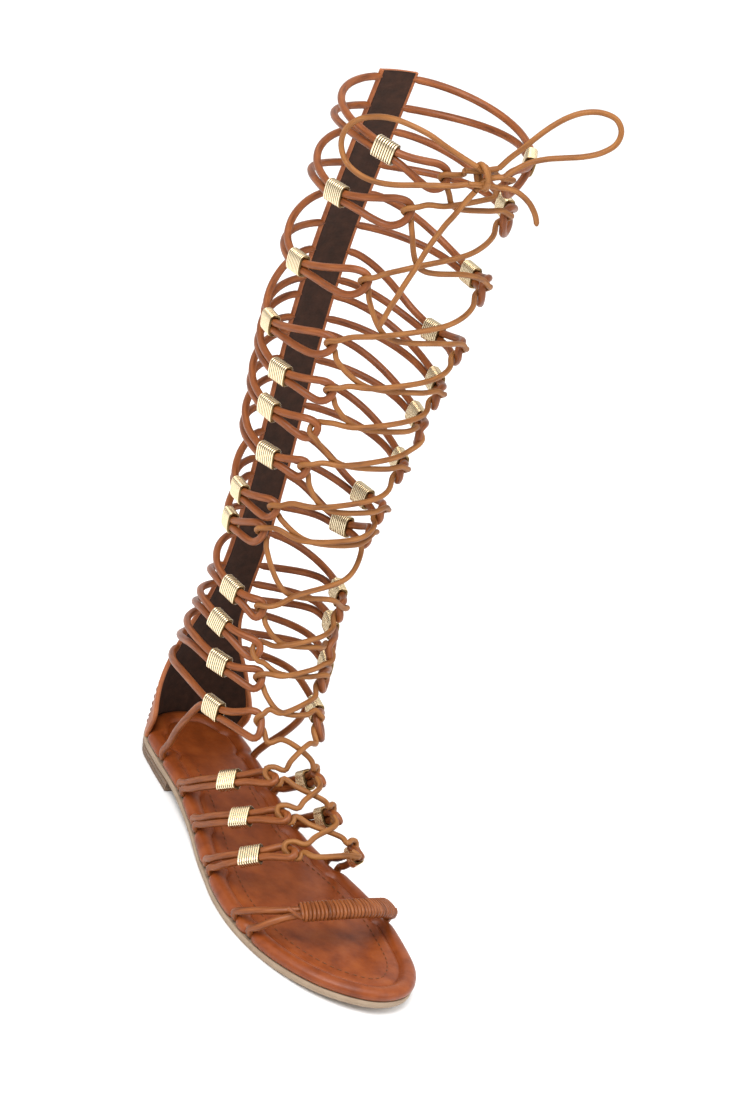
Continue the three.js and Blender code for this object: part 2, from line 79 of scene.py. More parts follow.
# Level sections of the leg: height, middle, half width, depth in front, depth behind.
LEG = np.array([
    (12, 0, 27.4, 60, 26.6), (40, 4, 30, 96, 31), (60, 12, 33, 88, 37.5), (75, 17, 34.5, 65, 40.5),
    (90, 20, 35.5, 51, 40), (105, 21, 35, 44.5, 39), (125, 21, 33, 41, 38), (155, 20, 34.5, 40, 39),
    (200, 18, 40, 44, 43), (250, 16, 46.5, 50, 48), (300, 15.5, 50.5, 53.5, 50),
    (350, 17, 50.5, 53, 49), (405, 19, 49, 51, 47),
], float)

# Height, and how far the counter or the back strip reaches to each side.
COUNTER = np.array([
    (12, 26.4), (30, 28.2), (45, 25), (58, 19.5), (75, 14), (95, 11), (125, 10), (TOP, 10),
], float)

FootRow = namedtuple("FootRow", "entry lean rise bead reach eye spread")
LegRow = namedtuple("LegRow", "bead z reach climb eye upper lower")
FOOT_ROWS = [
    FootRow(106, 38, 38, 34, 20, 4.4, 3.8),
    FootRow(72, 50, 42, 34, 20.5, 4.4, 2.6),
    FootRow(45, 53, 45.5, 34, 21, 4.4, 2.6),
]
LEG_ROWS = [
    LegRow(64, 66, 35, 10, 5.2, 60, None),
    LegRow(64, 90, 26, 5, 4.8, 84, 70),
    LegRow(75, 109, 26.5, -1, 4.6, 102, 92),
    LegRow(76, 128, 21, 1, 4.8, 134, 114),
    LegRow(104, 156, 29, 13, 5.6, 168, 150),
    LegRow(96, 177, 29, 8, 5.2, 192, 177),
    LegRow(71, 209, 23, 6, 4.8, 222, 207),
    LegRow(79, 233, 30.5, 5, 5.4, 247, 232),
    LegRow(76, 255, 31.5, 6.5, 5.6, 268, 255),
    LegRow(98, 272, 45, 14, 6, 294, 277),
    LegRow(87, 312, 42.5, 13, 7.2, 328, 309),
    LegRow(77.5, 357, 41, 11, 7.4, 365, 345),
    LegRow(58, 392, 34, -2, 6.6, 396, 379),
]
ROWS = FOOT_ROWS + LEG_ROWS
CROSSED_OVER = (5, 10)  # rows whose lace turns the other way through the loop

# The toe strap: where its strands leave the outer and the inner edge, and its wrapped stretch.
TOE_FRONT = (161, 153)
TOE_BACK = (147, 140)
TOE_LEAN, TOE_RISE = 22, 21
WRAP_FROM, WRAP_TO = radians(55), radians(137)

# The bow's knot, where the two laces reach it, and the routes that leave it.
KNOT_MIDDLE = np.array([4.5, 79, 398])
LACE_AT_KNOT = ((13.1, 74, 398.5), (-4.1, 74, 398.5))
OUTER_LOOP = [
    (10.8, 79, 403.6), (19.5, 77, 407), (28.5, 74, 410.5), (36, 69.5, 413.5),
    (43, 63.5, 414.5), (49, 55.5, 413.5), (53.5, 46.5, 409.5), (57, 38, 403),
    (58.5, 32.5, 394), (57.5, 32, 385.5), (54.5, 36.5, 379), (50.5, 44.5, 377),
    (45.5, 53, 378), (39.5, 60.5, 381), (33, 67, 385), (25.5, 72.5, 388.5),
    (18.5, 76.5, 391), (12.1, 79.2, 394),
]
INNER_LOOP = [
    (-1.7, 79, 403.7), (-5, 80, 410), (-9, 82, 417), (-13.5, 83.5, 424.5),
    (-18.5, 85, 431.5), (-24.5, 87, 438), (-31, 89.5, 442.5), (-38.5, 92.5, 444.5),
    (-45.5, 95.5, 443), (-49, 97.5, 438), (-48.5, 98, 431.5), (-43.5, 96.5, 425.5),
    (-36.5, 93.5, 421), (-28.5, 90.5, 418), (-20.5, 87.5, 415), (-13.5, 85, 411),
    (-8, 83.5, 406), (-3.7, 82.5, 401),
]
OUTER_END = [
    (7.5, 79.8, 390.6), (9.5, 79.5, 386.5), (11.5, 79, 381.5), (13.5, 78.5, 376),
    (15.5, 77.5, 370.5), (17, 76.5, 364.5), (18.5, 75.5, 358.5), (20, 75, 352),
    (21, 74.5, 346), (22.5, 74, 339.5), (24, 73.5, 333), (25, 73, 327), (26.5, 72.5, 320.5),
    (27.5, 72, 314), (28.5, 71.5, 308),
]
INNER_END = [
    (-2.9, 81.5, 394.6), (-4.8, 82, 395), (-6.8, 82.5, 395.2), (-8.8, 83, 395.2),
    (-10.8, 83.5, 395), (-12.8, 84, 394.5), (-14.8, 84.5, 393.6), (-16.8, 85, 392.6),
    (-18.8, 85.5, 391.3), (-20.8, 86, 389.8), (-22.6, 86.5, 388), (-24.3, 87, 386),
    (-25.8, 87.4, 383.8), (-27, 87.7, 381.5), (-28, 88, 379),
]


# ---- Lines ----

def unit(v):
    """Each vector divided by its own length."""
    return v / np.linalg.norm(v, axis=-1, keepdims=True)


def ease(t):
    """3t^2 - 2t^3, held at 0 before 0 and at 1 after 1."""
    t = np.clip(t, 0, 1)
    return t * t * (3 - 2 * t)


def even(line, step):
    """The line's points moved along it to equal steps of arc length."""
    run = np.concatenate([[0], np.cumsum(np.linalg.norm(np.diff(line, axis=0), axis=1))])
    count = max(int(round(run[-1] / step)), 4) + 1
    at = np.linspace(0, run[-1], count)
    return np.stack([np.interp(at, run, line[:, k]) for k in range(3)], 1)


def smooth_line(points, step, closed=False):
    """A centripetal Catmull-Rom curve through the points: three levels of linear blends between
    neighbours, with knots spaced by the square root of the distance, then equal steps."""
    p = np.asarray(points, float)
    if closed:
        padded = np.vstack([p[-1:], p, p[:2]])
    else:
        padded = np.vstack([2 * p[:1] - p[1:2], p, 2 * p[-1:] - p[-2:-1]])
    a, b, c, d = (padded[k:len(padded) - 3 + k, None, :] for k in range(4))
    gaps = [np.sqrt(np.linalg.norm(y - x, axis=-1, keepdims=True)) for x, y in ((a, b), (b, c), (c, d))]
    t0 = 0 * gaps[0]
    t1 = t0 + gaps[0]
    t2 = t1 + gaps[1]
    t3 = t2 + gaps[2]
    t = t1 + (t2 - t1) * np.arange(16)[None, :, None] / 16

    def between(x, y, start, end):
        return (x * (end - t) + y * (t - start)) / (end - start)

    ab, bc, cd = between(a, b, t0, t1), between(b, c, t1, t2), between(c, d, t2, t3)
    curve = between(between(ab, bc, t0, t2), between(bc, cd, t1, t3), t1, t2).reshape(-1, 3)
    curve = np.vstack([curve, p[:1] if closed else p[-1:]])
    line = even(curve, step)
    return line[:-1] if closed else line


def directions(line, closed=False):
    """Unit tangents by central differences, one-sided at the ends of an open line."""
    if closed:
        return unit(np.roll(line, -1, 0) - np.roll(line, 1, 0))
    return unit(np.gradient(line, axis=0))


def run_of(line):
    """Distance along a line up to each of its points."""
    return np.concatenate([[0], np.cumsum(np.linalg.norm(np.diff(line, axis=0), axis=1))])


# ---- Surfaces that everything lies on ----

def blended(table, z):
    """A table's rows at heights z: b + t/2(c - a + t(2a - 5b + 4c - d + t(3(b - c) + d - a)))
    between the rows b and c around z, with a and d the rows beyond them."""
    z = np.asarray(z, float)
    i = np.clip(np.searchsorted(table[:, 0], z, side="right") - 1, 0, len(table) - 2)
    t = np.clip((z - table[i, 0]) / (table[i + 1, 0] - table[i, 0]), 0, 1)[..., None]
    a, b, c, d = (table[np.clip(i + k, 0, len(table) - 1)] for k in (-1, 0, 1, 2))
    return b + 0.5 * t * (c - a + t * (2 * a - 5 * b + 4 * c - d + t * (3 * (b - c) + d - a)))


def leg_point(side, angle, z, lift=0.0):
    """x = side (half width + lift) sin(angle), y = middle + (depth + lift) cos(angle), z = z,
    with the depth in front where the cosine is positive and the depth behind elsewhere."""
    angle, z, lift = np.broadcast_arrays(angle, z, lift)
    row = blended(LEG, z)
    depth = np.where(np.cos(angle) > 0, row[..., 3], row[..., 4])
    x = side * (row[..., 2] + lift) * np.sin(angle)
    y = row[..., 1] + (depth + lift) * np.cos(angle)
    return np.stack([x, y, z], -1)


def underside(y):
    """Height of the outsole's underside: flat heel seat, eased arch, flat tread, toe spring."""
    y = np.asarray(y, float)
    arch = HEEL_LIFT * (1 - ease((y - HEEL_FRONT) / (TREAD_FLAT[0] - HEEL_FRONT)))
    spring = TOE_SPRING * (np.maximum(y - TREAD_FLAT[1], 0) / (TOE_TIP - TREAD_FLAT[1])) ** 2
    return np.where(y < TREAD_FLAT[0], arch, spring)


OUTLINE_3D = np.column_stack([OUTLINE, np.zeros(len(OUTLINE))])
outline = smooth_line(OUTLINE_3D, 1.5, closed=True)


def edge(side, y):
    """x of the sole's outline on one side at y."""
    half = outline[outline[:, 0] * side > 0]
    half = half[np.argsort(half[:, 1])]
    return float(np.interp(y, half[:, 1], half[:, 0]))


def foot_point(side, row, angle, along, lift=0.0):
    """x = axis + side (half width + lift) cos(angle), y = entry + lean sin(angle) - along,
    z = footbed + (rise + lift) sin(angle)."""
    angle, along, lift = np.broadcast_arrays(angle, along, lift)
    half_width = abs(edge(side, row.entry) - FOOT_AXIS) - 1
    base = float(underside(row.entry)) + OUTSOLE + INSOLE - 1
    x = FOOT_AXIS + side * (half_width + lift) * np.cos(angle)
    y = row.entry + row.lean * np.sin(angle) - along
    return np.stack([x, y, base + (row.rise + lift) * np.sin(angle)], -1)


def slant(side, row, angle):
    """How many times further apart along y two leaning strands are than across themselves."""
    half_width = abs(edge(side, row.entry) - FOOT_AXIS)
    across = np.hypot(half_width * np.sin(angle), row.rise * np.cos(angle))
    return np.hypot(1, row.lean * np.cos(angle) / across)


def root_path(side, y):
    """A strand's way from under the footbed out at the sole's edge."""
    x = abs(edge(side, y))
    seam = float(underside(y)) + OUTSOLE + GAP + STRAND / 2
    return [(side * (x - inside), y, seam + above) for inside, above in ROOT_WAY]


def strap_surface(side, row):
    """A function that gives the point `mm` past the bead's middle towards the tip, `off` above the
    strap's middle line and `lift` out from the surface."""
    if isinstance(row, FootRow):
        ring = np.hypot(abs(edge(side, row.entry) - FOOT_AXIS), row.rise) / np.sqrt(2)

        def over_foot(mm, off, lift=0.0):
            angle = radians(row.bead) + mm / ring
            return foot_point(side, row, angle, off * slant(side, row, angle), lift)
        return over_foot
    leg = blended(LEG, row.z)
    ring = (leg[2] + leg[3]) / 2

    def round_leg(mm, off, lift=0.0):
        z = row.z + row.climb * max(mm, 0) / row.reach + off
        return leg_point(side, radians(row.bead) - mm / ring, z, lift)
    return round_leg


def crest(k, angle, lift=0.0):
    """Where row k passes the front, `angle` to the outer side (positive) or the inner one."""
    row = ROWS[k]
    side = 1 if angle >= 0 else -1
    if isinstance(row, FootRow):
        return foot_point(side, row, pi / 2 - abs(angle), 0, lift)
    return leg_point(side, abs(angle), row.z + row.climb, lift)


def outward(points):
    """Unit directions away from the foot's long axis low down and from the leg's axis high up."""
    high = ease((points[:, 2] - 50) / 40)[:, None]
    from_foot = np.stack([points[:, 0] - FOOT_AXIS, 0 * points[:, 1], points[:, 2] - 12], 1)
    from_leg = np.stack([points[:, 0], points[:, 1] - 18, 0 * points[:, 2]], 1)
    return unit((1 - high) * unit(from_foot) + high * unit(from_leg))


# ---- Meshes ----

Surface = namedtuple("Surface", "points faces straight")


def grid_faces(rows, columns, closed_rows=False, closed_columns=False):
    """Four corners (r, c), (r, c+1), (r+1, c+1), (r+1, c) for each cell of a grid."""
    r = np.arange(rows if closed_rows else rows - 1)[:, None]
    c = np.arange(columns if closed_columns else columns - 1)[None, :]
    r2, c2 = (r + 1) % rows, (c + 1) % columns
    corners = [r * columns + c, r * columns + c2, r2 * columns + c2, r2 * columns + c]
    return np.stack([np.broadcast_to(k, (len(r), c.shape[1])) for k in corners], -1).reshape(-1, 4)


def sweep(line, section, closed=False, toward=None):
    """A section carried along a line: point = line + across u + beside v, where across is the
    tangent crossed with the reference and beside is the tangent crossed with across. The section
    is (columns, 2) or (rows, columns, 2). Open ends are closed by fans."""
    tangent = directions(line, closed)
    if toward is None:
        toward = np.linalg.svd(line - line.mean(0), full_matrices=False)[2][2]
    across = unit(np.cross(tangent, toward))
    beside = np.cross(tangent, across)
    section = np.broadcast_to(section, (len(line),) + np.shape(section)[-2:])
    u, v = section[..., :1], section[..., 1:]
    ring = line[:, None] + across[:, None] * u + beside[:, None] * v
    columns = ring.shape[1]
    run = np.broadcast_to(run_of(line)[:, None, None], u.shape)
    straight = np.concatenate([u, v, run], -1).reshape(-1, 3)
    points = ring.reshape(-1, 3)
    faces = grid_faces(len(line), columns, closed, True)
    if closed:
        return Surface(points, faces.tolist(), straight)
    first, last = len(points), len(points) + 1
    points = np.vstack([points, ring[0].mean(0), ring[-1].mean(0)])
    straight = np.vstack([straight, (0, 0, 0), (0, 0, run.max())])
    a = np.arange(columns)
    b = (a + 1) % columns
    start = np.stack([np.full(columns, first), b, a], 1)
    end = np.stack([np.full(columns, last), a + columns * (len(line) - 1), b + columns * (len(line) - 1)], 1)
    return Surface(points, faces.tolist() + start.tolist() + end.tolist(), straight)


def tube(line, radius, sides=12, closed=False, toward=None):
    """A round section of the radius, (r cos, r sin), carried along the line."""
    turn = tau * np.arange(sides) / sides
    circle = np.stack([np.cos(turn), np.sin(turn)], 1)
    r = np.broadcast_to(radius, (len(line),))[:, None, None]
    return sweep(line, r * circle, closed, toward)


def grid(points, straight=None, closed_rows=False, closed_columns=False):
    """A grid of points (rows, columns, 3) as a surface."""
    rows, columns = points.shape[:2]
    if straight is None:
        straight = points
    faces = grid_faces(rows, columns, closed_rows, closed_columns).tolist()
    return Surface(points.reshape(-1, 3), faces, straight.reshape(-1, 3))


def build(name, surfaces, material, replaced=(), merge=None, sharp=50):
    """One piece from one or more surfaces, smooth shaded, riding on the sandal."""
    surfaces = [surfaces] if isinstance(surfaces, Surface) else list(surfaces)
    starts = np.cumsum([0] + [len(s.points) for s in surfaces])
    points = np.vstack([s.points for s in surfaces]) * MM
    faces = [[i + start for i in face] for s, start in zip(surfaces, starts.tolist()) for face in s.faces]
    mesh = bpy.data.meshes.new(name)
    mesh.from_pydata(points.tolist(), [], faces)
    straight = mesh.attributes.new("straight", "FLOAT_VECTOR", "POINT")
    straight.data.foreach_set("vector", np.vstack([s.straight for s in surfaces]).ravel())
    work = bmesh.new()
    work.from_mesh(mesh)
    if merge:
        bmesh.ops.remove_doubles(work, verts=work.verts, dist=merge * MM)
    bmesh.ops.recalc_face_normals(work, faces=work.faces)
    work.to_mesh(mesh)
    work.free()
    mesh.polygons.foreach_set("use_smooth", np.ones(len(mesh.polygons), bool))
    mesh.set_sharp_from_angle(angle=radians(sharp))
    mesh.materials.append(material)
    obj = bpy.data.objects.new(name, mesh)
    bpy.context.scene.collection.objects.link(obj)
    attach(obj, "root")
    if replaced:
        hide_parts(*replaced)
    return obj


def stitches(line, up, long=2.6, gap=1.5, radius=0.34):
    """Short threads laid end to end along a line: each is an ellipsoid of half length `long`/2,
    its points middle + along a cos(p) + (across cos(q) + up sin(q)) r sin(p)."""
    count = max(int(run_of(line)[-1] / (long + gap)), 1)
    run = run_of(line)
    at = (np.arange(count) + 0.5) / count * run[-1]
    middle = np.stack([np.interp(at, run, line[:, k]) for k in range(3)], 1)
    slope = directions(line)
    along = unit(np.stack([np.interp(at, run, slope[:, k]) for k in range(3)], 1))
    up = np.broadcast_to(up, line.shape)
    lift = unit(np.stack([np.interp(at, run, up[:, k]) for k in range(3)], 1))
    across = unit(np.cross(along, lift))
    lift = np.cross(across, along)
    p, q = np.meshgrid(np.linspace(0.15, pi - 0.15, 6), tau * np.arange(6) / 6, indexing="ij")
    p, q = p.ravel()[None, :, None], q.ravel()[None, :, None]
    round_part = across[:, None] * np.cos(q) + lift[:, None] * np.sin(q)
    points = middle[:, None] + along[:, None] * (long / 2) * np.cos(p) + round_part * radius * np.sin(p)
    one = grid_faces(6, 6, False, True)
    caps = np.array([[0, 1, 2, 3], [3, 4, 5, 0], [33, 32, 31, 30], [30, 35, 34, 33]])
    cell = np.vstack([one, caps])
    faces = (cell[None] + 36 * np.arange(count)[:, None, None]).reshape(-1, 4)
    points = points.reshape(-1, 3)
    return Surface(points, faces.tolist(), points)


# ---- Materials ----

def fresh(name):
    """A material with one Principled shader wired to its output."""
    material = bpy.data.materials.new(name)
    material.use_nodes = True
    tree = material.node_tree
    tree.nodes.clear()
    shader = tree.nodes.new("ShaderNodeBsdfPrincipled")
    output = tree.nodes.new("ShaderNodeOutputMaterial")
    tree.links.new(shader.outputs["BSDF"], output.inputs["Surface"])
    return material, tree, shader


def place(tree, stretch, own=True):
    """The piece's own straightened position, or its plain position, scaled by `stretch`."""
    if own:
        source = tree.nodes.new("ShaderNodeAttribute")
        source.attribute_name = "straight"
        socket = source.outputs["Vector"]
    else:
        source = tree.nodes.new("ShaderNodeTexCoord")
        socket = source.outputs["Object"]
    mapping = tree.nodes.new("ShaderNodeMapping")
    mapping.inputs["Scale"].default_value = stretch
    tree.links.new(socket, mapping.inputs["Vector"])
    return mapping.outputs["Vector"]


def noise(tree, where, scale, detail=4.0, roughness=0.55):
    """Fractal noise over a placed position."""
    node = tree.nodes.new("ShaderNodeTexNoise")
    node.inputs["Scale"].default_value = scale
    node.inputs["Detail"].default_value = detail
    node.inputs["Roughness"].default_value = roughness
    tree.links.new(where, node.inputs["Vector"])
    return node.outputs["Fac"]


def ramp(tree, value, stops):
    """A colour ramp with (position, colour) stops."""
    node = tree.nodes.new("ShaderNodeValToRGB")
    node.color_ramp.elements[0].position = stops[0][0]
    node.color_ramp.elements[0].color = (*stops[0][1], 1)
    node.color_ramp.elements[1].position = stops[-1][0]
    node.color_ramp.elements[1].color = (*stops[-1][1], 1)
    for position, colour in stops[1:-1]:
        node.color_ramp.elements.new(position).color = (*colour, 1)
    tree.links.new(value, node.inputs["Fac"])
    return node.outputs["Color"]


def spread(tree, value, low, high):
    """A noise value's usual range, 0.3 to 0.7, carried to low..high."""
    node = tree.nodes.new("ShaderNodeMapRange")
    node.inputs["From Min"].default_value = 0.3
    node.inputs["From Max"].default_value = 0.7
    node.inputs["To Min"].default_value = low
    node.inputs["To Max"].default_value = high
    tree.links.new(value, node.inputs["Value"])
    return node.outputs["Result"]


def raised(tree, shader, height, strength, distance):
    """A bump map on the shader's normal; the distance is in millimetres."""
    node = tree.nodes.new("ShaderNodeBump")
    node.inputs["Strength"].default_value = strength
    node.inputs["Distance"].default_value = distance * MM
    tree.links.new(height, node.inputs["Height"])
    tree.links.new(node.outputs["Normal"], shader.inputs["Normal"])


ALONG_CORD = (1, 1, 0.12)  # a cord's pattern, drawn out along it
EVEN_GRAIN = (1, 1, 1)


def leather(name, dark, middle, light, rough, grain, stretch=ALONG_CORD):
    """Leather: colour from soft blotches and lengthwise streaks, roughness from the fine grain."""
    material, tree, shader = fresh(name)
    streaks = noise(tree, place(tree, stretch), grain, 5)
    base = ramp(tree, streaks, [(0.28, dark), (0.5, middle), (0.74, light)])
    tree.links.new(base, shader.inputs["Base Color"])
    fine = noise(tree, place(tree, (1, 1, 0.5)), grain * 5, 3)
    tree.links.new(spread(tree, fine, rough - 0.07, rough + 0.08), shader.inputs["Roughness"])
    raised(tree, shader, fine, 0.35, 0.12)
    shader.inputs["Specular IOR Level"].default_value = 0.3
    return material


def metal(name):
    """Pale gold plating, with painted shade down the sides of each rib, in the grooves between the
    ribs and at the rolled-in ends: the third straight coordinate is the rib's height, from 0 in a
    groove to 1 on the crest."""
    material, tree, shader = fresh(name)
    polish = noise(tree, place(tree, (1, 1, 1), False), 260, 2)
    tree.links.new(spread(tree, polish, 0.20, 0.30), shader.inputs["Roughness"])
    split = tree.nodes.new("ShaderNodeSeparateXYZ")
    tree.links.new(place(tree, (1, 1, 1)), split.inputs["Vector"])
    # Painted shade: the gold falls from its own pale colour on a rib's crest to near brown in the grooves
    # and the rolled-in ends.
    stops = [(0.45, (0.13, 0.075, 0.03)), (0.78, (0.66, 0.50, 0.28)), (0.94, (0.92, 0.79, 0.55))]
    tree.links.new(ramp(tree, split.outputs["Z"], stops), shader.inputs["Base Color"])
    shader.inputs["Metallic"].default_value = 1.0
    return material


def rubber(name, dark, light):
    """Matt sole rubber with faint blotches and a fine grain."""
    material, tree, shader = fresh(name)
    blotches = noise(tree, place(tree, (1, 1, 1), False), 90, 4)
    tree.links.new(ramp(tree, blotches, [(0.3, dark), (0.7, light)]), shader.inputs["Base Color"])
    shader.inputs["Roughness"].default_value = 0.72
    raised(tree, shader, noise(tree, place(tree, (1, 1, 1), False), 900, 3), 0.3, 0.15)
    return material


STRAP = leather(
    "strap_cord_leather",
    (0.084, 0.021, 0.004), (0.196, 0.053, 0.011), (0.28, 0.089, 0.024), 0.40, 0.55,
)
LACING = leather(
    "lace_leather",
    (0.125, 0.041, 0.008), (0.232, 0.085, 0.018), (0.312, 0.129, 0.033), 0.52, 0.6,
)
FOOTBED = leather(
    "footbed_leather",
    (0.136, 0.026, 0.004), (0.2, 0.042, 0.007), (0.256, 0.062, 0.012), 0.40, 0.10, EVEN_GRAIN,
)
COUNTER_LEATHER = leather(
    "counter_leather",
    (0.20, 0.055, 0.015), (0.29, 0.086, 0.026), (0.37, 0.125, 0.042), 0.46, 0.12, EVEN_GRAIN,
)
# The lining: its own darker brown, taken down to near black as painted shade inside the counter and the
# strip.
LINING = leather(
    "counter_lining",
    (0.018, 0.007, 0.003), (0.030, 0.011, 0.005), (0.045, 0.017, 0.008), 0.75, 0.2, EVEN_GRAIN,
)
THREAD = leather(
    "sewing_thread",
    (0.10, 0.032, 0.011), (0.14, 0.045, 0.016), (0.18, 0.060, 0.022), 0.6, 1.5,
)
GOLD = metal("pale_gold")
SOLE_RUBBER = rubber("sole_rubber", (0.27, 0.19, 0.125), (0.34, 0.25, 0.17))
HEEL_RUBBER = rubber("heel_rubber", (0.15, 0.095, 0.06), (0.2, 0.13, 0.085))


# ---- Camera, lights and floor ----

AZIMUTH, ELEVATION, ROLL = 144.5, 27.0, 19.9
DISTANCE = 2400.0
HIGH_IN_VIEW = 553.0  # how much of the upright plane through the target the view takes in
SENSOR = 36
TARGET = (-7, 76, 183)


def direction_from(azimuth, elevation):
    """(sin a cos e, -cos a cos e, sin e) for an azimuth a and an elevation e."""
    a, e = radians(azimuth), radians(elevation)
    return Vector((sin(a) * cos(e), -cos(a) * cos(e), sin(e)))


def add_camera():
    """A camera looking down at the sandal from its outer front, rolled so that it leans."""
    back = direction_from(AZIMUTH, ELEVATION)
    data = bpy.data.cameras.new("camera")
    data.sensor_width = SENSOR
    data.lens = SENSOR * DISTANCE / HIGH_IN_VIEW
    data.clip_start, data.clip_end = 0.05, 60
    obj = bpy.data.objects.new("camera", data)
    obj.location = Vector(TARGET) * MM + back * DISTANCE * MM
    level = (-back).to_track_quat("-Z", "Y")
    obj.rotation_mode = "QUATERNION"
    obj.rotation_quaternion = level @ Quaternion((0, 0, 1), radians(ROLL))
    bpy.context.scene.collection.objects.link(obj)
    bpy.context.scene.camera = obj


add_camera()


def add_light(name, azimuth, elevation, distance, size, power):
    """A square soft light aimed at the sandal's middle."""
    data = bpy.data.lights.new(name, "AREA")
    data.size = size
    data.energy = power
    obj = bpy.data.objects.new(name, data)
    way = direction_from(azimuth, elevation)
    obj.location = Vector((0, 0.05, 0.2)) + way * distance
    obj.rotation_mode = "QUATERNION"
    obj.rotation_quaternion = (-way).to_track_quat("-Z", "Y")
    bpy.context.scene.collection.objects.link(obj)


def add_studio():
    """Soft light from above and both sides, a bright surround and a pale floor."""
    add_light("key_light", 118, 48, 1.9, 1.1, 30)
    add_light("fill_light", 215, 32, 2.0, 1.4, 16)
    add_light("top_light", 150, 82, 1.9, 1.6, 22)
    world = bpy.data.worlds.new("surround")
    world.use_nodes = True
    background = world.node_tree.nodes["Background"]
    background.inputs["Color"].default_value = (1, 1, 1, 1)
    background.inputs["Strength"].default_value = 0.75
    bpy.context.scene.world = world
    material, _, shader = fresh("pale_floor")
    shader.inputs["Base Color"].default_value = (0.93, 0.93, 0.935, 1)
    shader.inputs["Roughness"].default_value = 0.6
    half = 9.0
    mesh = bpy.data.meshes.new("floor")
    corners = [(-half, -half, 0), (half, -half, 0), (half, half, 0), (-half, half, 0)]
    mesh.from_pydata(corners, [], [(0, 1, 2, 3)])
    mesh.materials.append(material)
    floor = bpy.data.objects.new("floor", mesh)
    bpy.context.scene.collection.objects.link(floor)
    bpy.context.scene.view_settings.view_transform = "Standard"


add_studio()


# ---- The bow ----

def add_bow():
    """Four round cords from the knot: the two loops of the bow and the lace's two ends."""
    cords = (
        ("bow_loop_outer", OUTER_LOOP, "lace_bow_outer", "knot"),
        ("bow_loop_inner", INNER_LOOP, "lace_bow_inner", "knot"),
        ("lace_tail_outer", OUTER_END, "lace_end_outer", "bare"),
        ("lace_tail_inner", INNER_END, "lace_end_inner", "bare"),
    )
    for name, route, node, far_end in cords:
        line = smooth_line(route, 1.5)
        tail = far_end == "bare"
        radius = np.full(len(line), LACE / 2)
        if tail:
            left = run_of(line)[-1] - run_of(line)
            radius = LACE / 2 * np.sqrt(np.clip(1 - (1 - np.clip(left / 0.8, 0.15, 1)) ** 2, 0, 1))
        obj = build(name, tube(line, radius, 14), LACING, (node,))


def add_knot():
    """A band wound round the crossing laces, and the four laces that pass through it."""
    turn = np.linspace(0, tau, 13)[:-1]
    band = KNOT_MIDDLE + np.stack([
        1.9 * np.sin(turn + 0.4),
        0.2 + 5.0 * np.cos(turn),
        6.0 * np.sin(turn) + 1.2 * np.cos(turn),
    ], 1)
    second = band + np.array([3.1, 0.5, 1.6]) * np.stack([np.sin(turn / 2)] * 3, 1)
    ways = [
        [LACE_AT_KNOT[0], (8.5, 75.6, 399.5), (3.5, 77.6, 401.5), INNER_LOOP[0]],
        [LACE_AT_KNOT[1], (0.5, 76.5, 400), (5.5, 79, 401.6), OUTER_LOOP[0]],
        [OUTER_LOOP[-1], (7.5, 81, 395), (2.5, 81.6, 395.3), INNER_END[0]],
        [INNER_LOOP[-1], (0.5, 80.5, 399), (4.5, 78.5, 395), OUTER_END[0]],
    ]
    pieces = [tube(smooth_line(way, 1), LACE / 2, 14) for way in ways]
    pieces.append(tube(smooth_line(band, 1, True), LACE / 2, 14, True, (1.0, 0.0, 0.0)))
    pieces.append(tube(smooth_line(second, 1, True), LACE / 2, 14, True, (1.0, 0.0, 0.0)))
    build("bow_knot", pieces, LACING, ("lace_knot",))


add_bow()
add_knot()


# ---- The lace through the loops ----

def row_step(k):
    """Distance up the front from row k to the next row."""
    k = min(max(k, 0), len(ROWS) - 2)
    return float(np.linalg.norm(crest(k + 1, 0.0) - crest(k, 0.0)))


def tip_angle(k):
    """How far round from the front the tip of row k's loops lies."""
    row = ROWS[k]
    if isinstance(row, FootRow):
        ring = np.hypot(abs(edge(1, row.entry) - FOOT_AXIS), row.rise) / np.sqrt(2)
        return pi / 2 - radians(row.bead) - row.reach / ring
    leg = blended(LEG, row.z)
    return radians(row.bead) - row.reach / ((leg[2] + leg[3]) / 2)


def hitch(k, side):
    """The lace's turn round a loop's tip, from below: under the lower strand into the eye, over
    the upper strand and away; the other way about on the rows that are crossed over."""
    at = strap_surface(side, ROWS[k])
    below, above = min(row_step(k - 1) * 0.34, 10), min(row_step(k) * 0.22, 6)
    if isinstance(ROWS[k], FootRow):
        below, above = row_step(k - 1) * 0.06, row_step(k) * 0.11
    turned = -1 if k in CROSSED_OVER else 1
    r = ROWS[k].reach
    return [
        at(r + 3.4, -below, -0.6 * turned),
        at(r + 0.6, -4.0, -2.4 * turned),
        at(r - 2.8, -1.8, -2.0 * turned),
        at(r - 3.9, 0.8, 0.8 * turned),
        at(r - 2.0, 3.0, 2.9 * turned),
        at(r + 1.8, 3.9, 2.6 * turned),
        at(r + 6.4, above, 1.2 * turned),
    ]


def crossing(k, side):
    """The lace's way over the front from a side of row k to the other side of the next row. The
    two laces cross nearer the outer side on the leg, and near the middle on the foot."""
    outer, inner = (k, k + 1) if side > 0 else (k + 1, k)
    angles = (0.5 * tip_angle(outer), -0.4 * tip_angle(inner))
    shares = (0.37, 0.62) if side > 0 else (0.34, 0.31)
    if isinstance(ROWS[k], FootRow):
        shares = (0.26, 0.68) if side > 0 else (0.74, 0.32)
    lifts = (1.5, 0.4) if side > 0 else (-1.5, -0.4)
    points = [
        (1 - share) * crest(k, angle, lift) + share * crest(k + 1, angle, lift)
        for share, angle, lift in zip(shares, angles, lifts)
    ]
    return points if side > 0 else points[::-1]


def lace_half(first_side):
    """One of the two crossing laces, from the toe-most row up to the knot."""
    path = []
    for k in range(len(ROWS)):
        side = first_side * (-1 if k % 2 else 1)
        path += hitch(k, side)
        if k < len(ROWS) - 1:
            path += crossing(k, side)
    return path + [LACE_AT_KNOT[0 if side > 0 else 1]]


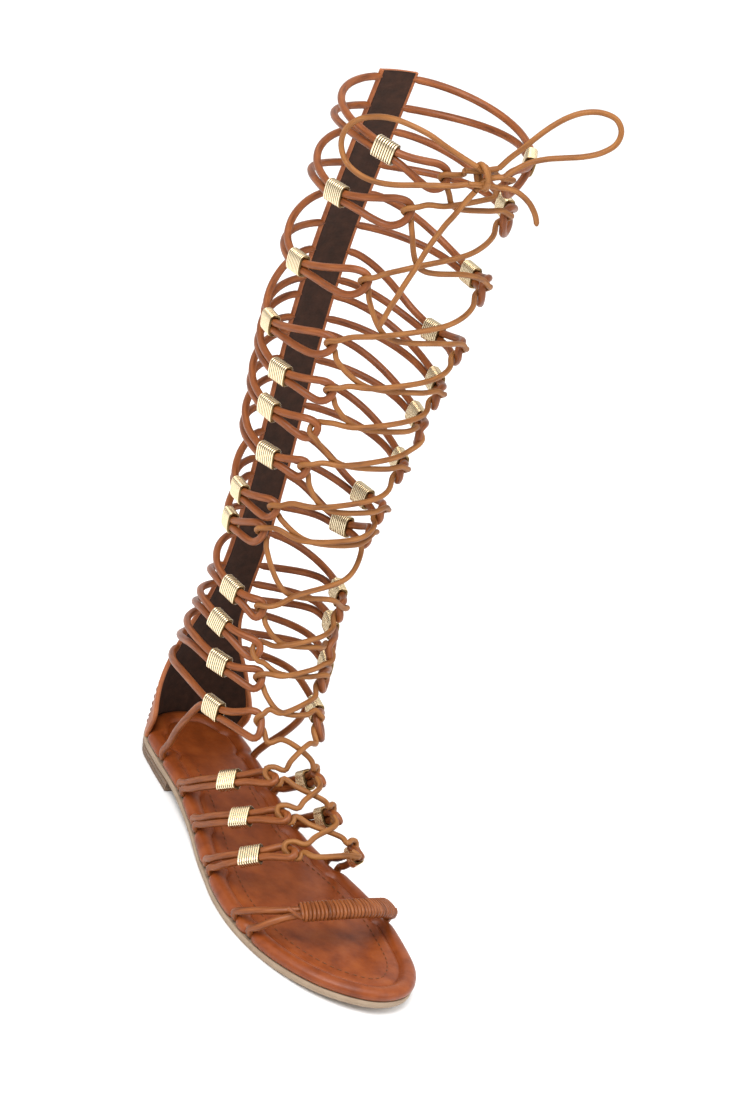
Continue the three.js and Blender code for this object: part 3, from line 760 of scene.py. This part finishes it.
def add_lace():
    """Both laces and the bar over the toe-most row that joins them, as one cord."""
    bar_places = ((1, 0.35), (1, 0.0), (-1, 0.35))
    bar = [foot_point(side, FOOT_ROWS[0], pi / 2 - angle, -7.0, 0.5) for side, angle in bar_places]
    route = lace_half(1)[::-1] + bar + lace_half(-1)
    line = smooth_line(np.array(route), 1.4)
    build("crossed_lace", tube(line, LACE / 2, 12, toward=outward(line)), LACING, ("lace",))


add_lace()


# ---- Loop straps ----

# Along an eye from the bead to the tip: share of its length, and share of its half width.
EYE_SHAPE = ((0.26, 0.28), (0.52, 0.72), (0.76, 1.0), (0.90, 0.80), (0.975, 0.42))


def eye_path(side, row, up):
    """One strand from the bead to the tip: its offset grows from the pair's to the eye's half
    width three quarters of the way along, then turns in to the tip."""
    at = strap_surface(side, row)
    long = row.reach - BEAD_END
    bulge = 0.84 if up > 0 else 1.16
    path = [at(-BEAD_END, up * PAIR), at(0, up * PAIR), at(BEAD_END, up * PAIR)]
    for share, width in EYE_SHAPE:
        off = PAIR + (row.eye * bulge - PAIR) * width if share < 0.9 else row.eye * bulge * width
        path.append(at(BEAD_END + share * long, up * off, -0.8 * up * ease((share - 0.6) / 0.4)))
    return path


def back_path(side, row, back_z, up):
    """A leg strand from inside the back strip to its bead."""
    leg, there = blended(LEG, row.z), blended(LEG, back_z)
    start = radians(row.bead) + 2 * BEAD_END / (leg[2] + leg[4])
    back = pi - asin(blended(COUNTER, back_z)[1] / there[2]) + TUCK
    path = []
    for t in (1, 0.86, 0.7, 0.54, 0.38, 0.2):
        z = row.z + up * PAIR + (back_z - row.z - up * PAIR) * ease(t)
        path.append(leg_point(side, start + (back - start) * t, z))
    return path


def edge_path(side, row, up):
    """A foot strand from under the footbed to its bead."""
    path = [np.array(p) for p in root_path(side, row.entry - up * row.spread)]
    for share, blend in ((0.2, 0.75), (0.45, 0.35)):
        angle = radians(row.bead) * share
        off = row.spread * blend + PAIR * slant(side, row, angle) * (1 - blend)
        path.append(foot_point(side, row, angle, up * off, 0.6))
    return path


def ankle_path(side, row):
    """The lowest leg strand, up from the sole beside the heel."""
    root = [np.array(p) for p in root_path(side, ANKLE_ROOT)]
    bead = strap_surface(side, row)(-BEAD_END, -PAIR)
    bulge = blended(LEG, row.z)[2]
    ways = []
    for t in (0.2, 0.45, 0.7):
        p = root[-1] + (bead - root[-1]) * t
        p[0] = side * (abs(root[-1][0]) + (bulge - abs(root[-1][0])) * ease(t * 1.6))
        ways.append(p)
    return root + ways


def loop_line(side, row):
    """The whole U of a loop strap: out from its root, round the tip and back."""
    halves = []
    for up in (1, -1):
        if isinstance(row, FootRow):
            way = edge_path(side, row, up)
        elif up < 0 and row.lower is None:
            way = ankle_path(side, row)
        else:
            way = back_path(side, row, row.upper if up > 0 else row.lower, up)
        halves.append(way + eye_path(side, row, up))
    tip = strap_surface(side, row)(row.reach, 0, 0)
    return smooth_line(np.array(halves[0] + [tip] + halves[1][::-1]), 1.5)


def add_loops():
    """The 32 loop straps: thick round cords, thinned where they go into the strip or the sole."""
    for k, row in enumerate(ROWS):
        for side in SIDES:
            line = loop_line(side, row)
            run = run_of(line)
            near = np.minimum(run, run[-1] - run)
            radius = STRAND / 2 * (0.5 + 0.5 * ease(near / 5))
            side_name = SIDE_NAMES[side]
            number = f"{k + 1:02d}"
            node = f"foot_loop_{k + 1}_{side_name}" if isinstance(row, FootRow) else "upper"
            surface = tube(line, radius, 14, toward=outward(line))
            build(f"loop_strap_{number}_{side_name}", surface, STRAP, (node,))


add_loops()


# ---- Beads ----

RIBS = 9
RIB_SAMPLES = 6
RIB_HIGH = 0.55
BEAD_SIDES = 44
BEAD_POWER = 3.2


def bead_surface(side, row):
    """A flattened sleeve: section |x/a|^3.2 + |y/b|^3.2 = 1, swelling by a half circle over each rib
    and rolled in at both ends to the inner wall."""
    at = strap_surface(side, row)
    along = unit(at(BEAD_END, 0) - at(-BEAD_END, 0))
    up = at(0, 1.0) - at(0, -1.0)
    up = unit(up - along * (up @ along))
    out = np.cross(along, up)
    middle = (at(BEAD_END, 0) + at(-BEAD_END, 0)) / 2
    samples = np.arange(RIBS * RIB_SAMPLES)
    place_in_rib = samples % RIB_SAMPLES / RIB_SAMPLES * 2 - 1
    swell = RIB_HIGH * np.sqrt(1 - place_in_rib ** 2)
    half = BEAD_LONG / 2
    where = (samples / len(samples) * 2 - 1) * (half - 0.15)
    where = np.concatenate([[-half, -half + 0.1], where, [half - 0.1, half, half - 0.4, 0, -half + 0.4]])
    swell = np.concatenate([[-0.7, -0.1], swell, [-0.1, -0.7, -1.15, -1.15, -1.15]])
    turn = tau * (np.arange(BEAD_SIDES) + 0.5) / BEAD_SIDES
    bend = 2 / BEAD_POWER
    shape = np.stack([np.sign(np.cos(turn)) * np.abs(np.cos(turn)) ** bend,
                      np.sign(np.sin(turn)) * np.abs(np.sin(turn)) ** bend], 1)
    a = (BEAD_WIDE / 2 - RIB_HIGH + swell)[:, None] * shape[None, :, 0]
    b = (BEAD_HIGH / 2 - RIB_HIGH + swell)[:, None] * shape[None, :, 1]
    points = (middle + where[:, None, None] * along
              + a[..., None] * up + b[..., None] * out)
    # The rib height, which the gold material turns into painted shade in the grooves and at the ends.
    height = np.broadcast_to(np.clip(swell / RIB_HIGH, 0, 1)[:, None], a.shape)
    return grid(points, np.stack([a, b, height], -1), True, True)


def add_beads():
    """A ribbed pale gold sleeve round both strands of each loop strap."""
    for k, row in enumerate(ROWS):
        for side in SIDES:
            side_name = SIDE_NAMES[side]
            number = f"{k + 1:02d}"
            node = f"bead_{number}_{side_name}"
            build(f"ribbed_sleeve_{number}_{side_name}", bead_surface(side, row), GOLD, (node,))


add_beads()


# ---- Toe strap ----

def toe_strand_point(pair, angle, up):
    """A point of the front (up -1) or back (up 1) strand of the toe strap, spread at the soles
    and drawn together under the wrapping."""
    def mix(ends):
        return ends[0] + (ends[1] - ends[0]) * angle / pi
    middle = (mix(TOE_FRONT) + mix(TOE_BACK)) / 2
    apart = min(abs(angle - WRAP_FROM), abs(angle - WRAP_TO))
    inside = WRAP_FROM < angle < WRAP_TO
    share = 0.0 if inside else float(ease(apart / (WRAP_FROM - radians(8))))
    held = middle - up * PAIR
    row = FootRow(held + (mix(pair) - held) * share, TOE_LEAN, TOE_RISE, 0, 0, 0, 0)
    side = 1 if angle < pi / 2 else -1
    return foot_point(side, row, angle if side > 0 else pi - angle, 0)


def toe_strand(pair, up):
    """A strand of the toe strap from under one edge of the footbed to under the other."""
    angles = np.radians([14, 27, 40, 52, 66, 80, 97, 112, 127, 142, 152, 163])
    path = [np.array(p) for p in root_path(1, pair[0])]
    path += [toe_strand_point(pair, a, up) for a in angles]
    path += [np.array(p) for p in root_path(-1, pair[1])][::-1]
    return smooth_line(np.array(path), 1.5)


def add_toe_strap():
    """Two strands over the toes and a thinner cord wound round them: the winding is
    spine + wide 5.2 cos(t)^0.8 + high 2.9 sin(t)^0.8, one turn for each 1.95 mm."""
    strands = [toe_strand(TOE_FRONT, -1), toe_strand(TOE_BACK, 1)]
    pieces = [tube(line, STRAND / 2, 14, toward=np.array([0, 1.0, 0])) for line in strands]
    angles = np.linspace(WRAP_FROM, WRAP_TO, 12)
    ends = [toe_strand_point(TOE_FRONT, a, -1) + toe_strand_point(TOE_BACK, a, 1) for a in angles]
    spine = smooth_line(np.array(ends) / 2, 0.12)
    tangent = directions(spine)
    wide = unit(np.array([0, 1.0, 0]) - tangent * tangent[:, 1:2])
    high = np.cross(wide, tangent)
    turn = tau * run_of(spine) / 1.95
    bend = 0.8
    swing = np.sign(np.cos(turn)) * np.abs(np.cos(turn)) ** bend
    rise = np.sign(np.sin(turn)) * np.abs(np.sin(turn)) ** bend
    coil = spine + wide * (5.2 * swing)[:, None] + high * (2.9 * rise)[:, None]
    coil = even(coil, 0.9)
    first = coil[0]
    loose = [first + np.array(p) for p in ((7.5, -4.5, 3.2), (5.5, -2.5, 3.0), (3, -0.5, 1.6))]
    coil = np.vstack([smooth_line(np.array(loose + [first]), 0.9)[:-1], coil])
    wound = tube(coil, 1.03, 8, toward=unit(np.array([1.0, 0.02, 0.05])))
    build("toe_strap_strands", pieces, STRAP, ("toe_strap",))
    build("toe_strap_winding", wound, STRAP, ("toe_strap",))


add_toe_strap()


# ---- Counter and back strip ----

def wall_edge(side, z, lift=0.0):
    """The counter's or strip's edge on one side at heights z."""
    spread_angle = np.arcsin(blended(COUNTER, z)[..., 1] / blended(LEG, z)[..., 2])
    return leg_point(side, pi - spread_angle, z, lift)


def wall_sheet(heights, inner, outer, margin=0.0):
    """A sheet round the back of the leg between two lifts: turn from one edge to the other
    outside, a half circle at the edge, back inside and a half circle again. The two level
    ends are closed by fans."""
    turns = np.sin(np.linspace(-1, 1, 29) * pi / 2)
    z = heights[:, None]
    reach = blended(COUNTER, z)[..., 1] - margin
    spread_angle = np.arcsin(np.clip(reach / blended(LEG, z)[..., 2], 0, 1))
    half, centre = (outer - inner) / 2, (outer + inner) / 2
    cap = np.linspace(pi / 2, -pi / 2, 7)[1:-1]
    shares = np.concatenate([turns, np.ones(5), turns[::-1], -np.ones(5)])
    lifts = np.concatenate([np.full(29, half), half * np.sin(cap), np.full(29, -half), -half * np.sin(cap)])
    past = np.concatenate([np.zeros(29), half * np.cos(cap), np.zeros(29), -half * np.cos(cap)])
    angle = pi - spread_angle * shares - past / blended(LEG, z)[..., 2]
    points = leg_point(1, angle, np.broadcast_to(z, angle.shape), centre + lifts)
    flat = np.stack([angle * 40, np.broadcast_to(z, angle.shape), 0 * angle], -1)
    first, last = points[0].mean(0), points[-1].mean(0)
    body = grid(points, flat, closed_columns=True)
    count, columns = len(body.points), points.shape[1]
    a = np.arange(columns)
    b = (a + 1) % columns
    top = columns * (len(heights) - 1)
    low_fan = np.stack([np.full(columns, count), b, a], 1)
    high_fan = np.stack([np.full(columns, count + 1), a + top, b + top], 1)
    faces = body.faces + low_fan.tolist() + high_fan.tolist()
    straight = np.vstack([body.straight, flat[0, 0], flat[-1, 0]])
    return Surface(np.vstack([body.points, first, last]), faces, straight)


def add_back():
    """The counter and the strip up the leg, with a dark brown lining painted down to near black as
    the shade inside them, folded edges and stitching.
    """
    heights = np.concatenate([np.linspace(COUNTER_FOOT, 130, 60), np.linspace(133, TOP - 0.4, 80)])
    skin = wall_sheet(heights, -0.5, WALL / 2)
    lining = wall_sheet(heights, -WALL / 2, -0.42, 0.9)
    build("counter_and_back_strip", skin, COUNTER_LEATHER, ("upper",))
    build("counter_and_strip_lining", lining, LINING, ("upper",))
    edges = []
    for side in SIDES:
        line = wall_edge(side, np.linspace(COUNTER_FOOT + 0.5, TOP - 0.4, 240), 0.15)
        edges.append(tube(even(line, 1.6), 1.25, 10, toward=outward(even(line, 1.6))))
    build("counter_and_strip_folded_edge", edges, COUNTER_LEATHER, ("upper",))
    rows = []
    for side in SIDES:
        z = np.linspace(COUNTER_FOOT + 3, TOP - 2, 300)
        turned = np.arcsin((blended(COUNTER, z)[:, 1] - 3.4) / blended(LEG, z)[:, 2])
        line = even(leg_point(side, pi - turned, z, WALL / 2 + 0.1), 1.0)
        rows.append(stitches(line, outward(line)))
    build("counter_and_strip_stitching", rows, THREAD)


add_back()


# ---- Sole ----

SPINE_HEEL = np.array([0.0, 2.0])
SPINE_TOE = np.array([-6.0, 188.0])
STATIONS = 170


def stations():
    """The outline's outer half from the heel to the toe and its inner half back, with as many
    points in each, so that both halves share the spine's points."""
    toe = int(np.argmax(outline[:, 1]))
    loop = np.vstack([outline, outline[:1]])
    outer = even(loop[:toe + 1], 1.0)
    inner = even(loop[toe:], 1.0)
    pick = np.linspace(0, 1, STATIONS + 1)
    halves = []
    for half in (outer, inner):
        share = np.linspace(0, 1, len(half))
        halves.append(np.stack([np.interp(pick, share, half[:, k]) for k in range(2)], 1))
    return np.vstack([halves[0][:-1], halves[1][:-1]])


RIM_LINE = stations()
RIM_NORMAL = directions(np.column_stack([RIM_LINE, np.zeros(len(RIM_LINE))]), True)
RIM_INWARD = np.stack([-RIM_NORMAL[:, 1], RIM_NORMAL[:, 0]], 1)
SPINE_SHARE = np.concatenate([np.arange(STATIONS), STATIONS - np.arange(STATIONS)]) / STATIONS
SPINE = SPINE_HEEL + (SPINE_TOE - SPINE_HEEL) * ease(SPINE_SHARE)[:, None]
NO_EXTRA = np.zeros(len(RIM_LINE))


def sole_rings(profile, extra=NO_EXTRA):
    """Rings round the outline: the outline moved inwards by an inset, at a height above the
    underside there. `extra` adds an inset of its own to each station."""
    rings = []
    for inset, height in profile:
        flat = RIM_LINE + RIM_INWARD * (inset + extra)[:, None]
        rings.append(np.column_stack([flat, underside(flat[:, 1]) + height]))
    return rings


def to_spine(ring, height, shares):
    """Rings between a ring and the sole's spine, ring + share (spine - ring), at a height above
    the underside."""
    rings = []
    for share in shares:
        flat = ring[:, :2] + (SPINE - ring[:, :2]) * share
        rings.append(np.column_stack([flat, underside(flat[:, 1]) + height]))
    return rings


def strap_roots():
    """Side, y and half spread of every place where straps go under the footbed."""
    places = []
    for side in SIDES:
        toe = 0 if side > 0 else 1
        places += [(side, row.entry, row.spread) for row in FOOT_ROWS]
        places += [(side, ANKLE_ROOT, 0), (side, TOE_FRONT[toe], 0), (side, TOE_BACK[toe], 0)]
    return places


def dents():
    """How far the rim gives way at each station: 2.6 mm at a strap, falling off as a bell."""
    depth = np.zeros(len(RIM_LINE))
    for side, y, half in strap_roots():
        away = np.maximum(np.abs(RIM_LINE[:, 1] - y) - half, 0)
        here = 2.6 * np.exp(-((away / 3.0) ** 2)) * (RIM_LINE[:, 0] * side > 0)
        depth = np.maximum(depth, here)
    return depth


def add_sole():
    """The footbed with its rounded rim, the rubber outsole and the heel."""
    behind = 2.9 * (1 - ease((RIM_LINE[:, 1] + 8) / 6))
    extra = np.maximum(dents(), behind)
    base = OUTSOLE + GAP
    top = OUTSOLE + INSOLE
    rim = [
        (2.2, base), (1.1, base + 0.1), (0.35, base + 0.9), (0.0, base + 2.1), (0.2, base + 3.4),
        (0.9, base + 4.6), (2.1, base + 5.5), (3.6, top - 0.1), (5.2, top + 0.05), (6.8, top - 0.25),
        (8.0, top - 0.85), (8.8, top - 1.6), (9.2, top - 2.0), (9.6, top - 1.75), (10.4, top - 1.35),
        (12.0, top - 1.15),
    ]
    rings = sole_rings(rim, extra)
    bed = to_spine(rings[-1], top - 1.15, (0.2, 0.4, 0.6, 0.8, 1.0))
    bottom = to_spine(rings[0], base, (0.5, 1.0))
    points = np.stack(bottom[::-1] + rings + bed)
    build("footbed", grid(points, closed_columns=True), FOOTBED, ("insole",), 0.02)
    edge_profile = [
        (3.0, 0.0), (1.3, 0.05), (0.9, 0.5), (0.75, 1.3), (0.45, 1.7), (0.35, 3.3), (0.7, 3.9),
        (2.0, OUTSOLE),
    ]
    rings = sole_rings(edge_profile)
    under = to_spine(rings[0], 0.0, (0.5, 1.0))
    over = to_spine(rings[-1], OUTSOLE, (0.5, 1.0))
    points = np.stack(under[::-1] + rings + over)
    build("outsole_sheet", grid(points, closed_columns=True), SOLE_RUBBER, ("outsole",), 0.02)
    seam = sole_rings([(15.8, top - 1.0)])[0]
    front = seam[np.abs(np.arange(len(seam)) - STATIONS) < 128]
    build("footbed_stitching", stitches(even(front, 1.0), (0, 0, 1.0)), THREAD)
    add_heel()


def add_heel():
    """The low heel: the outline behind the heel's front drawn in towards its middle, with a thin
    line where the top piece is glued on."""
    around = outline[outline[:, 1] < HEEL_FRONT][:, :2]
    split = int(np.argmax(np.linalg.norm(np.diff(around, axis=0, append=around[:1]), axis=1)))
    around = np.roll(around, -(split + 1), 0)
    front = around[-1] + (around[0] - around[-1]) * np.linspace(0, 1, 26)[1:-1, None]
    ring = np.vstack([around, front])
    middle = SPINE_HEEL
    length = np.linalg.norm(middle - ring, axis=1)[:, None]
    top = HEEL_LIFT - GAP
    profile = [
        (2.6, 0.0), (1.9, 0.5), (1.7, 2.6), (2.2, 2.9), (2.2, 3.1), (1.6, 3.4), (0.9, top - 0.5),
        (1.4, top),
    ]
    rings = []
    for inset, z in profile:
        flat = ring + (middle - ring) * inset / length
        rings.append(np.column_stack([flat, np.full(len(flat), z)]))
    low = np.column_stack([np.tile(middle, (len(ring), 1)), np.zeros(len(ring))])
    high = np.column_stack([np.tile(middle, (len(ring), 1)), np.full(len(ring), top)])
    points = np.stack([low] + rings + [high])
    build("heel_block", grid(points, closed_columns=True), HEEL_RUBBER, ("heel",), 0.02)


add_sole()
